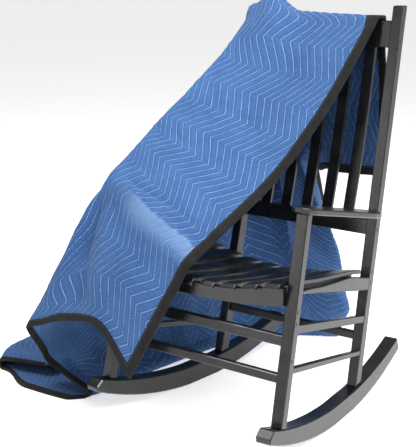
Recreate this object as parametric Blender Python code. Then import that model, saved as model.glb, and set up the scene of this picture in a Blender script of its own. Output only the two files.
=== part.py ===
"""A quilted moving pad thrown over a plain wooden rocking chair.

Units are metres, +Z is up and the chair faces -Y, with its sitter's left at +X.
Every size is a named constant or a named column of a short table below.
"""
import bisect
import math

import bmesh
import bpy
import numpy as np

# Chair frame. The two sides toe in towards the back by SIDE_TOE_IN.
SIDE_X_AT_ZERO = 0.269
SIDE_TOE_IN = math.atan(0.0867)
JOINT_GAP = 0.0003
EDGE_ROUND = 0.0022

ROCKER_THICK = 0.0435
ROCKER_ARC_RADIUS = 1.0658
ROCKER_FLAT_HALF = 0.065
ROCKER_FRONT = -0.450
ROCKER_REAR = 0.405
ROCKER_STEPS = 22
ROCKER_DEPTH_MID = 0.0575
ROCKER_DEPTH_FRONT = 0.040
ROCKER_DEPTH_REAR = 0.046

LEG_WIDE = 0.033
LEG_DEEP = 0.028
LEG_FRONT_Y = -0.4169
LEG_RAKE = 0.2307
POST_WIDE = 0.0304
POST_DEEP = 0.0345
POST_FRONT_Y = 0.0757
POST_RAKE = 0.2233
POST_TOP = 1.138

ARM_THICK = 0.016
ARM_Z_AT_ZERO = 0.608
ARM_SLOPE = -0.2239
# Outline of the near armrest seen from above, one corner a row.
ARM_OUTLINE = (
    # x, y
    (0.212, 0.195),
    (0.207, -0.190),
    (0.211, -0.208),
    (0.222, -0.229),
    (0.240, -0.256),
    (0.262, -0.280),
    (0.286, -0.286),
    (0.303, -0.276),
    (0.310, -0.250),
    (0.311, 0.060),
    (0.307, 0.098),
    (0.285, 0.150),
    (0.252, 0.195),
)

SEAT_SLATS = 8
SEAT_SLAT_WIDE = 0.045
SEAT_SLAT_PITCH = 0.0675
SEAT_SLAT_THICK = 0.012
SEAT_DISH = 0.034
# Height of the outermost seat slat's top along its length.
SEAT_PROFILE = (
    # y, z
    (-0.350, 0.474),
    (-0.338, 0.4815),
    (-0.302, 0.479),
    (-0.218, 0.463),
    (-0.159, 0.452),
    (-0.092, 0.443),
    (-0.030, 0.436),
    (0.024, 0.429),
    (0.085, 0.417),
)
FRONT_RAIL_Y = (-0.333, -0.313)
FRONT_RAIL_BOTTOM = 0.399
FRONT_RAIL_BOW = 0.022
REAR_RAIL_Y = (0.055, 0.073)
REAR_RAIL_DEEP = 0.040
SIDE_RAIL_THICK = 0.020
SIDE_RAIL_INSET = 0.006
SIDE_RAIL_TOP = (0.417, -0.27)
SIDE_RAIL_BOTTOM = (0.3755, -0.25)

BACK_INSET = 0.004
BACK_RAIL_THICK = 0.020
TOP_RAIL_Z = (1.020, 1.095)
LOW_RAIL_Z = (0.491, 0.534)
BACK_SLATS = 5
BACK_SLAT_WIDE = 0.034
BACK_SLAT_PITCH = 0.0715
BACK_SLAT_THICK = 0.011
BACK_SLAT_BOW = 0.008
BACK_SLAT_STEPS = 6

RUNG_THICK = 0.016
RUNG_INSET = 0.007
# Rungs between the two front legs and between the two posts.
FRONT_RUNGS = (
    # name, low z, high z
    ("front_rung_upper", 0.317, 0.343),
    ("front_rung_lower", 0.224, 0.246),
)
BACK_RUNG_Z = (0.188, 0.210)
# Rungs along each side, from the leg to the post.
SIDE_RUNGS = (
    # name, top z at y = 0, slope of the top, height
    ("side_rung_upper", 0.2975, -0.2333, 0.023),
    ("side_rung_lower", 0.1894, -0.2143, 0.016),
)

# The pad.
PAD_THICK = 0.006
BINDING_WIDE = 0.026
BINDING_THICK = 0.0011
BINDING_GAP = 0.0003
FLOOR_EDGE_Z = PAD_THICK / 2 + BINDING_GAP + BINDING_THICK
# Quilting: zigzag lines run down the cloth, every second one of the real 27 mm pitch.
QUILT_COLUMN = 0.0266
QUILT_SWING = 0.0265
QUILT_PERIOD = 0.21
QUILT_PEAK_AT = 1.24
QUILT_PUFF = 0.0009
CORNER_ROW = QUILT_PERIOD / 4
FOLD_RADIUS = 0.016
HALF_TURN_STEPS = 4
FLOOR_COLUMN = 0.058


def clear_scene():
    for obj in list(bpy.data.objects):
        bpy.data.objects.remove(obj, do_unlink=True)


def make_material(name, colour, roughness):
    mat = bpy.data.materials.new(name)
    mat.use_nodes = True
    shader = mat.node_tree.nodes["Principled BSDF"]
    shader.inputs["Base Color"].default_value = (*colour, 1.0)
    shader.inputs["Roughness"].default_value = roughness
    return mat


def add_object(name, mesh_data, mat):
    mesh_data.materials.append(mat)
    obj = bpy.data.objects.new(name, mesh_data)
    bpy.context.collection.objects.link(obj)
    return obj


def finish_mesh(name, bm, mat, edge_round=0.0):
    """Faces outwards, optional rounded sharp edges, then triangles."""
    bmesh.ops.recalc_face_normals(bm, faces=bm.faces)
    if edge_round > 0:
        sharp = [e for e in bm.edges if e.calc_face_angle(0) > math.radians(40)]
        bmesh.ops.bevel(bm, geom=sharp, offset=edge_round, segments=1, affect="EDGES", clamp_overlap=True)
    bmesh.ops.triangulate(bm, faces=bm.faces)
    data = bpy.data.meshes.new(name)
    bm.to_mesh(data)
    bm.free()
    return add_object(name, data, mat)


def skin(name, rings, mat, edge_round=EDGE_ROUND):
    """A closed solid through rings of points, with a cap at each end."""
    bm = bmesh.new()
    loops = [[bm.verts.new(p) for p in ring] for ring in rings]
    count = len(loops[0])
    for a, b in zip(loops, loops[1:]):
        for k in range(count):
            n = (k + 1) % count
            bm.faces.new((a[k], a[n], b[n], b[k]))
    bm.faces.new(list(reversed(loops[0])))
    bm.faces.new(loops[-1])
    return finish_mesh(name, bm, mat, edge_round)


def side_point(side, along, inward, z):
    """A point of a chair side: along it, inward from its outer face, and up."""
    sin_toe = math.sin(SIDE_TOE_IN)
    cos_toe = math.cos(SIDE_TOE_IN)
    x = SIDE_X_AT_ZERO - along * sin_toe - inward * cos_toe
    y = along * cos_toe - inward * sin_toe
    return (side * x, y, z)


def side_x(y, inward):
    """How far out the side's face lies at y, that far in from its outer face."""
    return SIDE_X_AT_ZERO - (inward + y * math.sin(SIDE_TOE_IN)) / math.cos(SIDE_TOE_IN)


def side_slab(name, side, outline, inward_from, inward_to, mat, edge_round=EDGE_ROUND):
    """A flat piece lying in a chair side, cut to an outline of (along, z)."""
    rings = []
    for inward in (inward_from, inward_to):
        rings.append([side_point(side, a, inward, z) for a, z in outline])
    return skin(name, rings, mat, edge_round)


def cross_piece(name, outline, inward, mat):
    """A piece from side to side with an outline of (y, z), cut to meet both sides."""
    rings = []
    for side in (-1, 1):
        rings.append([(side * (side_x(y, inward) - JOINT_GAP), y, z) for y, z in outline])
    return skin(name, rings, mat)


def rocker_low(along):
    arc = ROCKER_ARC_RADIUS - math.sqrt(ROCKER_ARC_RADIUS ** 2 - along ** 2)
    flat = ROCKER_ARC_RADIUS - math.sqrt(ROCKER_ARC_RADIUS ** 2 - ROCKER_FLAT_HALF ** 2)
    return max(0.0, arc - flat)


def rocker_high(along):
    """Top of the rocker: deep in the middle and slimmer towards both ends."""
    if along < 0:
        end, depth_end = ROCKER_FRONT, ROCKER_DEPTH_FRONT
    else:
        end, depth_end = ROCKER_REAR, ROCKER_DEPTH_REAR
    part = min(1.0, abs(along / end)) ** 2
    depth = ROCKER_DEPTH_MID + (depth_end - ROCKER_DEPTH_MID) * part
    return rocker_low(along) + depth


def build_rocker(side, tag, mat):
    steps = np.linspace(ROCKER_FRONT, ROCKER_REAR, ROCKER_STEPS + 1)
    steps = sorted(list(steps) + [-ROCKER_FLAT_HALF, ROCKER_FLAT_HALF])
    low = [(a, rocker_low(a)) for a in steps]
    front_cut = ROCKER_FRONT + 0.022
    rear_cut = ROCKER_REAR - 0.016
    tops = [a for a in steps if front_cut + 0.01 < a < rear_cut - 0.01]
    tops = [front_cut] + tops + [rear_cut]
    high = [(a, rocker_high(a)) for a in reversed(tops)]
    nose = [(ROCKER_FRONT, rocker_low(ROCKER_FRONT) + 0.014)]
    return side_slab("rocker_" + tag, side, low + high + nose, 0.0, ROCKER_THICK, mat, 0.003)


def leg_front(z):
    return LEG_FRONT_Y + LEG_RAKE * z


def post_front(z):
    return POST_FRONT_Y + POST_RAKE * z


def meet_line(start_z, height_at, face_at):
    """Height where a raked face meets a height that depends on the place along."""
    z = start_z
    for _ in range(20):
        z = height_at(face_at(z))
    return z


def arm_top(y):
    return ARM_Z_AT_ZERO + ARM_SLOPE * y


def arm_under(y):
    return arm_top(y) - ARM_THICK


def raked_bar(name, side, front_at, deep, wide, low_at, high_at, mat):
    """A leg or post: a raked bar whose ends follow the pieces below and above."""
    def back_at(z):
        return front_at(z) + deep
    outline = []
    for face in (front_at, back_at):
        z = meet_line(0.1, low_at, face)
        outline.append((face(z), z))
    for face in (back_at, front_at):
        z = meet_line(0.6, high_at, face)
        outline.append((face(z), z))
    inset = (ROCKER_THICK - wide) / 2 if wide < POST_WIDE + 0.001 else 0.0
    return side_slab(name, side, outline, inset, inset + wide, mat)


def above_rocker(along):
    return rocker_high(along) + 2 * JOINT_GAP


def below_arm(along):
    return arm_under(along) - JOINT_GAP


def post_top(_along):
    return POST_TOP


def build_arm(side, tag, mat):
    rings = []
    for drop in (0.0, ARM_THICK):
        rings.append([(side * x, y, arm_top(y) - drop) for x, y in ARM_OUTLINE])
    return skin("armrest_" + tag, rings, mat, 0.003)


def build_side(side, tag, mat):
    build_rocker(side, tag, mat)
    raked_bar("front_leg_" + tag, side, leg_front, LEG_DEEP, LEG_WIDE, above_rocker, below_arm, mat)
    raked_bar("back_post_" + tag, side, post_front, POST_DEEP, POST_WIDE, above_rocker, post_top, mat)
    build_arm(side, tag, mat)
    for name, top_z, slope, height in SIDE_RUNGS:
        side_bar(name + "_" + tag, side, (top_z, slope), (top_z - height, slope), RUNG_INSET, RUNG_THICK, mat)
    build_side_rail(side, tag, mat)


def side_bar(name, side, top, bottom, inset, thick, mat):
    """A bar from the leg's back face to the post's front face."""
    outline = []
    for (z0, slope), at_leg in ((bottom, True), (bottom, False), (top, False), (top, True)):
        z = z0
        for _ in range(20):
            y = leg_front(z) + LEG_DEEP + JOINT_GAP if at_leg else post_front(z) - JOINT_GAP
            z = z0 + slope * y
        outline.append((y, z))
    return side_slab(name, side, outline, inset, inset + thick, mat)


def seat_top(x, y):
    """Height of the dished seat at a place."""
    ys = [row[0] for row in SEAT_PROFILE]
    zs = [row[1] for row in SEAT_PROFILE]
    outer = SEAT_SLAT_PITCH * (SEAT_SLATS - 1) / 2
    return float(np.interp(y, ys, zs)) - SEAT_DISH * (1 - min(1.0, abs(x) / outer) ** 2)


def seat_under(x, y):
    """Underside of the slats, straight across each slat."""
    edges = slat_edges()
    return float(np.interp(x, edges, [seat_top(e, y) for e in edges])) - SEAT_SLAT_THICK


def build_side_rail(side, tag, mat):
    """Side of the seat frame, its top under the outermost slat."""
    ys = [-0.27, -0.218, -0.159, -0.092, -0.030, 0.024]
    inner_x = SEAT_SLAT_PITCH * (SEAT_SLATS - 1) / 2 - SEAT_SLAT_WIDE / 2
    outline = []
    for z0, slope, at_leg in ((SIDE_RAIL_BOTTOM[0], SIDE_RAIL_BOTTOM[1], True),
                              (SIDE_RAIL_BOTTOM[0], SIDE_RAIL_BOTTOM[1], False),
                              (SIDE_RAIL_TOP[0], SIDE_RAIL_TOP[1], False)):
        z = z0
        for _ in range(20):
            y = leg_front(z) + LEG_DEEP + JOINT_GAP if at_leg else post_front(z) - JOINT_GAP
            z = z0 + slope * y
        outline.append((y, z))
    for y in reversed(ys):
        under = seat_under(inner_x, y) - 2 * JOINT_GAP
        outline.append((y, min(under, SIDE_RAIL_TOP[0] + SIDE_RAIL_TOP[1] * y)))
    y, z = outline[-1]
    outline[-1] = (leg_front(z) + LEG_DEEP + 2 * JOINT_GAP, z)
    return side_slab("seat_rail_side_" + tag, side, outline, SIDE_RAIL_INSET,
                     SIDE_RAIL_INSET + SIDE_RAIL_THICK, mat)


def build_seat_slats(mat):
    for k in range(SEAT_SLATS):
        x = (k - (SEAT_SLATS - 1) / 2) * SEAT_SLAT_PITCH
        edges = (x - SEAT_SLAT_WIDE / 2, x + SEAT_SLAT_WIDE / 2)
        rings = []
        for y, _z in SEAT_PROFILE:
            top = [(e, y, seat_top(e, y)) for e in edges]
            low = [(e, y, seat_top(e, y) - SEAT_SLAT_THICK) for e in reversed(edges)]
            rings.append(top + low)
        skin("seat_slat_%d" % (k + 1), rings, mat, 0.0018)


def slat_edges():
    """The x of every seat slat's two edges, in order."""
    xs = []
    for k in range(SEAT_SLATS):
        x = (k - (SEAT_SLATS - 1) / 2) * SEAT_SLAT_PITCH
        xs += [x - SEAT_SLAT_WIDE / 2, x + SEAT_SLAT_WIDE / 2]
    return xs


def build_seat_rail(name, y_range, bottom_at, inward, mat):
    """A rail across the seat frame whose top follows the dish of the slats."""
    y_mid = sum(y_range) / 2
    half = side_x(y_mid, inward)
    xs = [x for x in slat_edges() if abs(x) < half - 0.006]
    rings = []
    for x in [-half] + xs + [half]:
        ring = []
        for y, high in ((y_range[0], True), (y_range[1], True), (y_range[1], False), (y_range[0], False)):
            reach = side_x(y, inward) - JOINT_GAP
            px = math.copysign(reach, x) if abs(x) >= half else x
            z = seat_under(px, y) - JOINT_GAP if high else bottom_at(px)
            ring.append((px, y, z))
        rings.append(ring)
    return skin(name, rings, mat, 0.0)


def front_rail_bottom(x):
    return FRONT_RAIL_BOTTOM + FRONT_RAIL_BOW * (x / 0.26) ** 2


def rear_rail_bottom(x):
    return seat_under(x, REAR_RAIL_Y[1]) - REAR_RAIL_DEEP


def raked_outline(z_low, z_high, inset, thick):
    """A rectangle leaning with the posts, as (y, z)."""
    return [(post_front(z_low) + inset, z_low), (post_front(z_low) + inset + thick, z_low),
            (post_front(z_high) + inset + thick, z_high), (post_front(z_high) + inset, z_high)]


def build_back(mat):
    post_in = (ROCKER_THICK - POST_WIDE) / 2 + POST_WIDE
    for name, z_low, z_high in (("top_rail", *TOP_RAIL_Z), ("low_back_rail", *LOW_RAIL_Z)):
        cross_piece(name, raked_outline(z_low, z_high, BACK_INSET, BACK_RAIL_THICK), post_in, mat)
    z0 = LOW_RAIL_Z[1] + JOINT_GAP
    z1 = TOP_RAIL_Z[0] - JOINT_GAP
    for k in range(BACK_SLATS):
        x = (k - (BACK_SLATS - 1) / 2) * BACK_SLAT_PITCH
        rings = []
        for i in range(BACK_SLAT_STEPS + 1):
            part = i / BACK_SLAT_STEPS
            z = z0 + (z1 - z0) * part
            y = post_front(z) + BACK_INSET + 0.004 + BACK_SLAT_BOW * math.sin(math.pi * part)
            half = BACK_SLAT_WIDE / 2
            rings.append([(x - half, y, z), (x + half, y, z),
                          (x + half, y + BACK_SLAT_THICK, z), (x - half, y + BACK_SLAT_THICK, z)])
        skin("back_slat_%d" % (k + 1), rings, mat, 0.0015)


def build_rungs(mat):
    for name, z_low, z_high in FRONT_RUNGS:
        outline = []
        for z, back in ((z_low, 0), (z_low, RUNG_THICK), (z_high, RUNG_THICK), (z_high, 0)):
            outline.append((leg_front(z) + 0.006 + back, z))
        cross_piece(name, outline, LEG_WIDE, mat)
    post_in = (ROCKER_THICK - POST_WIDE) / 2 + POST_WIDE
    cross_piece("back_rung", raked_outline(*BACK_RUNG_Z, 0.008, RUNG_THICK), post_in, mat)


def build_chair(mat):
    for side, tag in ((1, "left"), (-1, "right")):
        build_side(side, tag, mat)
    build_seat_slats(mat)
    build_seat_rail("seat_rail_front", FRONT_RAIL_Y, front_rail_bottom, LEG_WIDE, mat)
    build_seat_rail("seat_rail_rear", REAR_RAIL_Y, rear_rail_bottom,
                    SIDE_RAIL_INSET + SIDE_RAIL_THICK, mat)
    build_back(mat)
    build_rungs(mat)


# How the pad lies. Each row is one section of the cloth from its near edge to its far
# edge, at a distance from the back hem. Each column is a place that the section passes.
# near: the free near edge. slope: the middle of the visible face. brow: just before the
# outer fold. fold: the outer fold. wall: half way down the far side. foot: where the far
# side reaches the floor. toe: under the wall. floor: lying outwards. turn: turned over.
# far: the far edge, lying on top of the floor layer. foot to far give x and y only.
DRAPE = (
    # (from hem, near, slope, brow, fold, wall, low wall, foot, toe, floor, turn, far)
    (0.00, (0.185, 0.354, 0.635), (0.030, 0.366, 0.625), (-0.045, 0.412, 0.622), (-0.115, 0.472, 0.598),
     (-0.105, 0.550, 0.330), (-0.105, 0.612, 0.110), (-0.130, 0.645), (-0.210, 0.660), (-0.340, 0.690),
     (-0.480, 0.730), (-0.340, 0.700)),
    (0.12, (0.184, 0.354, 0.752), (0.025, 0.354, 0.745), (-0.085, 0.357, 0.722), (-0.125, 0.374, 0.645),
     (-0.042, 0.462, 0.310), (-0.025, 0.530, 0.120), (-0.070, 0.570), (-0.150, 0.600), (-0.330, 0.640),
     (-0.510, 0.690), (-0.340, 0.650)),
    (0.24, (0.181, 0.354, 0.870), (0.018, 0.354, 0.870), (-0.125, 0.358, 0.862), (-0.225, 0.374, 0.800),
     (-0.190, 0.425, 0.430), (-0.125, 0.500, 0.110), (-0.125, 0.530), (-0.200, 0.555), (-0.380, 0.600),
     (-0.570, 0.660), (-0.380, 0.610)),
    (0.43, (0.165, 0.358, 1.060), (-0.030, 0.358, 1.060), (-0.200, 0.384, 1.090), (-0.262, 0.386, 1.045),
     (-0.262, 0.430, 0.530), (-0.190, 0.480, 0.100), (-0.175, 0.500), (-0.250, 0.520), (-0.440, 0.560),
     (-0.640, 0.610), (-0.440, 0.560)),
    (0.465, (0.167, 0.3525, 1.1048), (-0.115, 0.3525, 1.108), (-0.221, 0.378, 1.149), (-0.288, 0.366, 1.107),
     (-0.300, 0.402, 0.530), (-0.220, 0.465, 0.100), (-0.195, 0.485), (-0.270, 0.505), (-0.460, 0.540),
     (-0.660, 0.590), (-0.460, 0.540)),
    (0.490, (0.165, 0.323, 1.1055), (-0.115, 0.323, 1.108), (-0.221, 0.335, 1.152), (-0.290, 0.327, 1.118),
     (-0.315, 0.370, 0.530), (-0.245, 0.445, 0.100), (-0.215, 0.465), (-0.290, 0.485), (-0.480, 0.520),
     (-0.680, 0.560), (-0.480, 0.515)),
    (0.53, (0.161, 0.293, 1.076), (-0.040, 0.294, 1.080), (-0.200, 0.288, 1.112), (-0.278, 0.283, 1.076),
     (-0.330, 0.330, 0.530), (-0.280, 0.415, 0.100), (-0.250, 0.435), (-0.330, 0.450), (-0.510, 0.480),
     (-0.710, 0.510), (-0.510, 0.475)),
    (0.62, (0.146, 0.242, 1.004), (-0.048, 0.239, 1.012), (-0.192, 0.225, 1.031), (-0.279, 0.214, 1.025),
     (-0.352, 0.253, 0.520), (-0.327, 0.349, 0.100), (-0.298, 0.364), (-0.378, 0.378), (-0.550, 0.405),
     (-0.749, 0.427), (-0.545, 0.402)),
    (0.72, (0.125, 0.190, 0.921), (-0.060, 0.180, 0.935), (-0.187, 0.165, 0.957), (-0.275, 0.145, 0.979),
     (-0.370, 0.180, 0.500), (-0.360, 0.280, 0.100), (-0.330, 0.290), (-0.410, 0.305), (-0.580, 0.330),
     (-0.780, 0.350), (-0.570, 0.330)),
    (0.84, (0.096, 0.121, 0.824), (-0.084, 0.099, 0.858), (-0.199, 0.075, 0.889), (-0.283, 0.049, 0.919),
     (-0.388, 0.109, 0.472), (-0.381, 0.209, 0.100), (-0.346, 0.218), (-0.427, 0.231), (-0.600, 0.250),
     (-0.809, 0.265), (-0.592, 0.250)),
    (1.02, (0.052, 0.005, 0.692), (-0.115, -0.030, 0.752), (-0.220, -0.060, 0.800), (-0.300, -0.085, 0.832),
     (-0.400, 0.020, 0.430), (-0.400, 0.120, 0.100), (-0.360, 0.130), (-0.440, 0.140), (-0.620, 0.150),
     (-0.840, 0.160), (-0.610, 0.150)),
    (1.44, (-0.012, -0.360, 0.482), (-0.164, -0.340, 0.589), (-0.250, -0.330, 0.640), (-0.326, -0.308, 0.682),
     (-0.440, -0.170, 0.360), (-0.430, -0.060, 0.100), (-0.380, -0.050), (-0.455, -0.045), (-0.650, -0.040),
     (-0.880, -0.030), (-0.620, -0.030)),
    (1.63, (-0.085, -0.400, 0.320), (-0.225, -0.405, 0.450), (-0.350, -0.395, 0.450), (-0.464, -0.402, 0.390),
     (-0.530, -0.270, 0.220), (-0.470, -0.225, 0.090), (-0.385, -0.205), (-0.450, -0.220), (-0.640, -0.225),
     (-0.860, -0.215), (-0.590, -0.190)),
    (1.83, (-0.165, -0.430, 0.155), (-0.305, -0.432, 0.288), (-0.430, -0.424, 0.266), (-0.568, -0.420, 0.214),
     (-0.576, -0.345, 0.095), (-0.505, -0.332, 0.050), (-0.412, -0.335), (-0.462, -0.380), (-0.620, -0.388),
     (-0.795, -0.330), (-0.610, -0.293)),
)
# Distance from the near edge of every place of a section, the same in every row. The
# foot and the turn are half circles, each spread over several places.
PLACES_ACROSS = (0.00, 0.185, 0.30, 0.42, 0.80, 1.13, 1.19, 1.203, 1.216, 1.229, 1.242,
                 1.30, 1.50, 1.74, 1.753, 1.766, 1.779, 1.792, 2.03)
# Where the cloth bends more sharply: the knee over the seat's front and the outer fold.
KNEE_AT = 1.44
OUTER_FOLD_AT = 0.42
BEND_HALF = 0.066
BEND_REACH = 0.061

# Upright folds that the hanging far side falls into, between these distances from the near edge.
FLUTE_PITCH = 0.315
FLUTE_COUNT = 4
FLUTE_DEEP = 0.070
FLUTES_ACROSS = (0.45, 1.12)


# Grid lines of the cloth, as (from here on, spacing): rows along it meet the zigzag's corners
# and are closer at the rail and the knee, columns across it are closer in the folds.
ROW_STOPS = ((0, BINDING_WIDE), (BINDING_WIDE, 0.051), (0.085, CORNER_ROW), (0.400, 0.015),
             (0.505, 0.0175), (0.5575, CORNER_ROW), (1.345, 0.035), (1.555, CORNER_ROW),
             (1.765, 0.031))
COLUMN_STOPS = ((0, BINDING_WIDE), (BINDING_WIDE, QUILT_COLUMN), (0.35, 0.024),
                (0.49, 2 * QUILT_COLUMN), (1.19, 0.013), (1.242, FLOOR_COLUMN), (1.74, 0.013),
                (1.792, 0.050))
# Where the lines swing: between the binding and the fold, and on the hanging wall.
QUILTED = ((BINDING_WIDE, 0.35), (0.49, 1.19))
QUILT_FADE = 0.053


def half_turn(tip, towards, downwards):
    """Points of a half circle on the floor whose outermost place is the tip."""
    inwards = (towards - tip) / np.linalg.norm(towards - tip)
    middle = tip + inwards * FOLD_RADIUS
    points = []
    for step in range(HALF_TURN_STEPS + 1):
        angle = math.pi * step / HALF_TURN_STEPS - math.pi / 2
        out = middle - inwards * FOLD_RADIUS * math.cos(angle)
        rise = -math.sin(angle) if downwards else math.sin(angle)
        points.append((out[0], out[1], FLOOR_EDGE_Z + FOLD_RADIUS * (1 + rise)))
    return points


def section_places(row):
    """The section's places as 3-D points, with the floor folds given their heights."""
    points = list(row[1:7])
    foot, toe, floor, turn, far = (np.array(p) for p in row[7:12])
    points += half_turn(foot, toe, True)
    points.append((toe[0], toe[1], FLOOR_EDGE_Z))
    points.append((floor[0], floor[1], FLOOR_EDGE_Z))
    points += half_turn(turn, far, False)
    points.append((far[0], far[1], FLOOR_EDGE_Z + 2 * FOLD_RADIUS + 0.006))
    return np.array(points)


def smooth_through(keys, values, at):
    """A smooth curve through values at keys that never swings past them, read at one place."""
    k = min(max(bisect.bisect_left(keys, at) - 1, 0), len(keys) - 2)
    h = keys[k + 1] - keys[k]
    u = (at - keys[k]) / h
    a, b = tangent(keys, values, k) * h, tangent(keys, values, k + 1) * h
    return (values[k] * (2 * u ** 3 - 3 * u ** 2 + 1) + a * (u ** 3 - 2 * u ** 2 + u)
            + values[k + 1] * (3 * u ** 2 - 2 * u ** 3) + b * (u ** 3 - u ** 2))


def tangent(keys, values, i):
    """Slope at a key: nothing where the curve turns, else between its neighbours' slopes."""
    if i == 0:
        return (values[1] - values[0]) / (keys[1] - keys[0])
    if i == len(keys) - 1:
        return (values[-1] - values[-2]) / (keys[-1] - keys[-2])
    h0, h1 = keys[i] - keys[i - 1], keys[i + 1] - keys[i]
    s0, s1 = (values[i] - values[i - 1]) / h0, (values[i + 1] - values[i]) / h1
    if keys[i] in (KNEE_AT, OUTER_FOLD_AT):
        return (values[i + 1] - values[i - 1]) / (h0 + h1)
    turning = s0 * s1 <= 0
    safe0, safe1 = np.where(turning, 1.0, s0), np.where(turning, 1.0, s1)
    w0, w1 = 2 * h1 + h0, h1 + 2 * h0
    return np.where(turning, 0.0, (w0 + w1) / (w0 / safe0 + w1 / safe1))


def with_bend(keys, values, at):
    """Adds a straight run on both sides of one key, so that the curve bends close to it."""
    keys = list(keys)
    values = [np.array(v) for v in values]
    k = keys.index(at)
    beside = []
    for other in (values[k - 1], values[k + 1]):
        away = other - values[k]
        length = np.linalg.norm(away, axis=-1, keepdims=True)
        beside.append(values[k] + away * np.minimum(0.45, BEND_REACH / length))
    new_keys = keys[:k] + [at - BEND_HALF, at, at + BEND_HALF] + keys[k + 1:]
    new_values = values[:k] + [beside[0], values[k], beside[1]] + values[k + 1:]
    return new_keys, np.array(new_values)


def drape_net():
    """Keys along and across and the net of places, with both bends put in."""
    places = np.array([section_places(row) for row in DRAPE])
    along, net = with_bend([row[0] for row in DRAPE], places, KNEE_AT)
    across, net = with_bend(PLACES_ACROSS, net.transpose(1, 0, 2), OUTER_FOLD_AT)
    return along, across, net.transpose(1, 0, 2)


ALONG_KEYS, ACROSS_KEYS, NET = drape_net()


def flute(along, across):
    """How an upright fold of the hanging side moves a place outwards, none outside the folds."""
    low, high = FLUTES_ACROSS
    if along > FLUTE_COUNT * FLUTE_PITCH or not low < across < high:
        return np.zeros(3)
    swell = math.sin(math.pi * along / FLUTE_PITCH) * math.sin(math.pi * (across - low) / (high - low))
    facing = math.pi / 2 * min(1.0, along / (2 * FLUTE_PITCH))
    return FLUTE_DEEP * swell ** 2 * np.array([-math.sin(facing), math.cos(facing), 0.0])


def pad_middle(along, across):
    """The middle of the cloth at a distance from the back hem and the near edge."""
    rows = [smooth_through(ACROSS_KEYS, section, across) for section in NET]
    point = smooth_through(ALONG_KEYS, np.array(rows), along) + flute(along, across)
    point[2] = max(point[2], FLOOR_EDGE_Z)
    return point


def grid_normals(middles):
    """At each grid point the mean direction of the cells around it."""
    down = middles[1:, 1:] - middles[:-1, :-1]
    up = middles[:-1, 1:] - middles[1:, :-1]
    cells = np.cross(up, down)
    cells /= np.linalg.norm(cells, axis=2, keepdims=True)
    total = np.zeros_like(middles)
    for di in (0, 1):
        for dj in (0, 1):
            total[di:di + cells.shape[0], dj:dj + cells.shape[1]] += cells
    return total / np.linalg.norm(total, axis=2, keepdims=True)


def spaced(stops):
    """Places from one stop to the next at each stop's own spacing."""
    places = [stops[0][0]]
    for (start, spacing), (end, _unused) in zip(stops, stops[1:]):
        count = max(1, round((end - start) / spacing))
        places += [start + (end - start) * (i + 1) / count for i in range(count)]
    return places


def zigzag(along):
    """The sideways swing of the quilting lines at a distance from the back hem."""
    part = ((along - QUILT_PEAK_AT) / QUILT_PERIOD) % 1.0
    return QUILT_SWING * (4 * abs(part - 0.5) - 1)


def swing_share(along, across, along_end):
    """How much of the swing a grid point takes: none at the edges and in the tight folds."""
    room = max(min(across - low, high - across) for low, high in QUILTED)
    ends = min(along - BINDING_WIDE, along_end - BINDING_WIDE - along)
    return min(1.0, max(0.0, room / QUILT_FADE)) * min(1.0, max(0.0, ends / QUILT_FADE))


def pad_grid():
    """Middles of the cloth on a grid; its second and last but one lines are the binding's ends."""
    along_end, across_end = ALONG_KEYS[-1], ACROSS_KEYS[-1]
    alongs = spaced(ROW_STOPS + ((along_end - BINDING_WIDE, BINDING_WIDE), (along_end, 1)))
    acrosses = spaced(COLUMN_STOPS + ((across_end - BINDING_WIDE, BINDING_WIDE), (across_end, 1)))
    grid = []
    for along in alongs:
        swing = zigzag(along)
        places = [across + swing * swing_share(along, across, along_end) for across in acrosses]
        grid.append([pad_middle(along, place) for place in places])
    return np.array(grid)


def build_pad(grid, normals, mat):
    """The quilted cloth: two puffed faces and a thin rim, one closed solid."""
    rows, cols = len(grid), len(grid[0])
    bm = bmesh.new()
    faces = []
    for face in (1, -1):
        layer = []
        for i in range(rows):
            line = []
            for j in range(cols):
                puff = 0.0
                if 1 < i < rows - 2 and 1 < j < cols - 2:
                    puff = QUILT_PUFF if j % 2 else -QUILT_PUFF / 2
                offset = face * (PAD_THICK / 2 + puff)
                line.append(bm.verts.new(grid[i][j] + offset * normals[i][j]))
            layer.append(line)
        faces.append(layer)
    for layer in faces:
        for i in range(rows - 1):
            for j in range(cols - 1):
                a, b, c, d = layer[i][j], layer[i][j + 1], layer[i + 1][j + 1], layer[i + 1][j]
                if cut_down(grid, i, j):
                    bm.faces.new((a, b, c))
                    bm.faces.new((a, c, d))
                else:
                    bm.faces.new((a, b, d))
                    bm.faces.new((b, c, d))
    rim = border_walk(rows, cols)
    for (i, j), (m, n) in zip(rim, rim[1:] + rim[:1]):
        top, next_top = faces[0][i][j], faces[0][m][n]
        under, next_under = faces[1][i][j], faces[1][m][n]
        if rises(grid, normals, (i, j), (m, n)):
            bm.faces.new((top, next_top, next_under))
            bm.faces.new((top, next_under, under))
        else:
            bm.faces.new((top, next_top, under))
            bm.faces.new((next_top, next_under, under))
    return finish_mesh("pad_cloth", bm, mat)


def cut_down(grid, i, j):
    """Whether a cell is cut from its first corner: through the cloth's corners, else the shorter way."""
    rows, cols = len(grid), len(grid[0])
    if i in (0, rows - 2) and j in (0, cols - 2):
        return (i == 0) == (j == 0)
    main = np.linalg.norm(grid[i][j] - grid[i + 1][j + 1])
    return main <= np.linalg.norm(grid[i][j + 1] - grid[i + 1][j])


def rises(grid, normals, here, there):
    """Whether the edge climbs towards its upper face from one border point to the next."""
    return float(np.dot(grid[there] - grid[here], normals[there] + normals[here])) > 0


def border_walk(rows, cols):
    """Grid positions once round the edge of the cloth."""
    walk = [(0, j) for j in range(cols - 1)]
    walk += [(i, cols - 1) for i in range(rows - 1)]
    walk += [(rows - 1, j) for j in range(cols - 1, 0, -1)]
    walk += [(i, 0) for i in range(rows - 1, 0, -1)]
    return walk


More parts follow.
